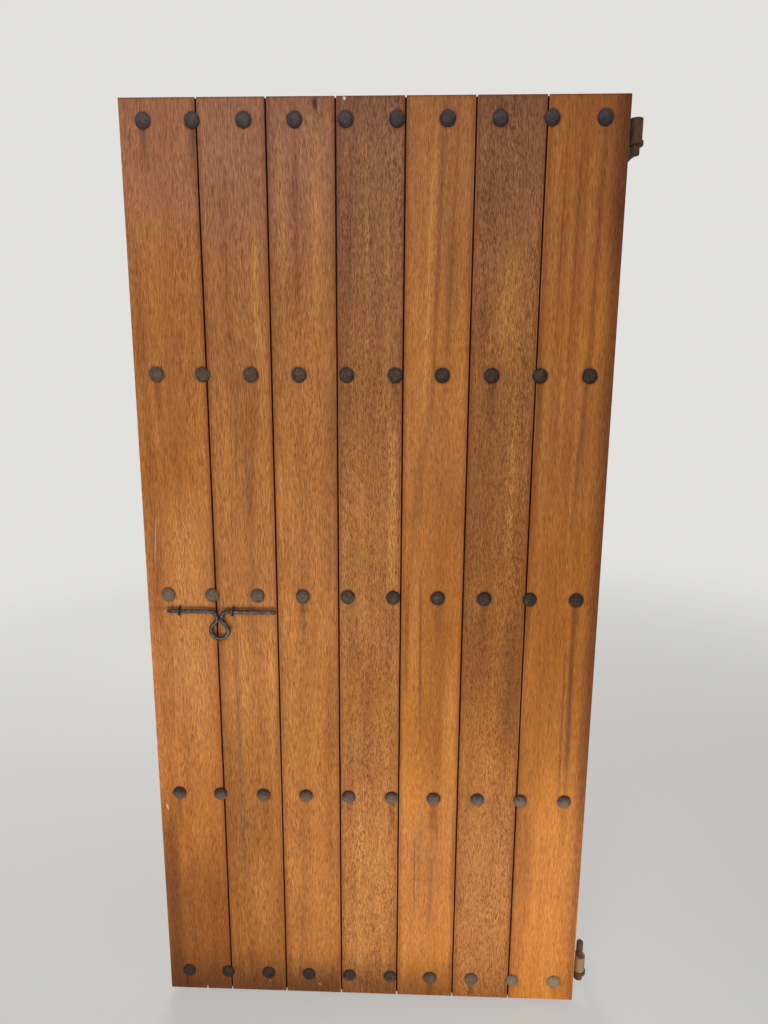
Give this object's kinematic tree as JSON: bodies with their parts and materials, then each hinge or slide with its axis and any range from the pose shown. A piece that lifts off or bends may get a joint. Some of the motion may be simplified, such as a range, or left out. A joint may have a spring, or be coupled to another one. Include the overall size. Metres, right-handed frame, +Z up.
{
  "type": "plank door leaf",
  "caption": "Vertical plank door leaf with rows of domed forged nails, ledges across the back, strap hinges on wall pintles and a sliding bolt bent from round rod.",
  "frame": {"origin": "on the hinge line, the common axis of the two pintle pins, at the level of the leaf's bottom edge", "axes": "+Z up along the hinge line; the leaf at rest runs from the hinge line along -X; its nailed inner face with the bolt looks along -Y, and the tangs run into the wall along +Y"},
  "size_m": [1.0421, 0.2153, 2.04],
  "materials": {
    "plank_wood": "oiled reddish-brown hardwood with fine straight pores, satin",
    "ledge_wood": "oiled hardwood, matt",
    "nail_iron": "forged, dark brown patina",
    "bolt_iron": "forged, dark, rubbed where it slides",
    "hinge_iron": "forged, rusty brown",
    "screw_iron": "dark, hammered"
  },
  "bodies": {
    "wall_pintles": {"upper_pintle": "hinge_iron", "lower_pintle": "hinge_iron"},
    "leaf": {"plank_1": "plank_wood", "plank_2": "plank_wood", "plank_3": "plank_wood", "plank_4": "plank_wood", "plank_5": "plank_wood", "plank_6": "plank_wood", "plank_7": "plank_wood", "ledge_1": "ledge_wood", "ledge_2": "ledge_wood", "ledge_3": "ledge_wood", "ledge_4": "ledge_wood", "ledge_5": "ledge_wood", "nail_row_1": "nail_iron", "nail_row_2": "nail_iron", "nail_row_3": "nail_iron", "nail_row_4": "nail_iron", "nail_row_5": "nail_iron", "upper_strap_hinge": "hinge_iron", "lower_strap_hinge": "hinge_iron", "upper_strap_screws": "screw_iron", "lower_strap_screws": "screw_iron", "free_side_staple": "bolt_iron", "loop_side_staple": "bolt_iron"},
    "bolt": {"sliding_bolt": "bolt_iron"}
  },
  "joints": [
    {"name": "leaf_hinge", "type": "hinge", "parent": "wall_pintles", "child": "leaf", "pos_m": [0, 0, 0], "axis": [0, 0, 1], "range_deg": [-50, 120]},
    {"name": "bolt_slide", "type": "slide", "parent": "leaf", "child": "bolt", "axis": [1, 0, 0], "range_m": [-0.065, 0.007]}
  ]
}
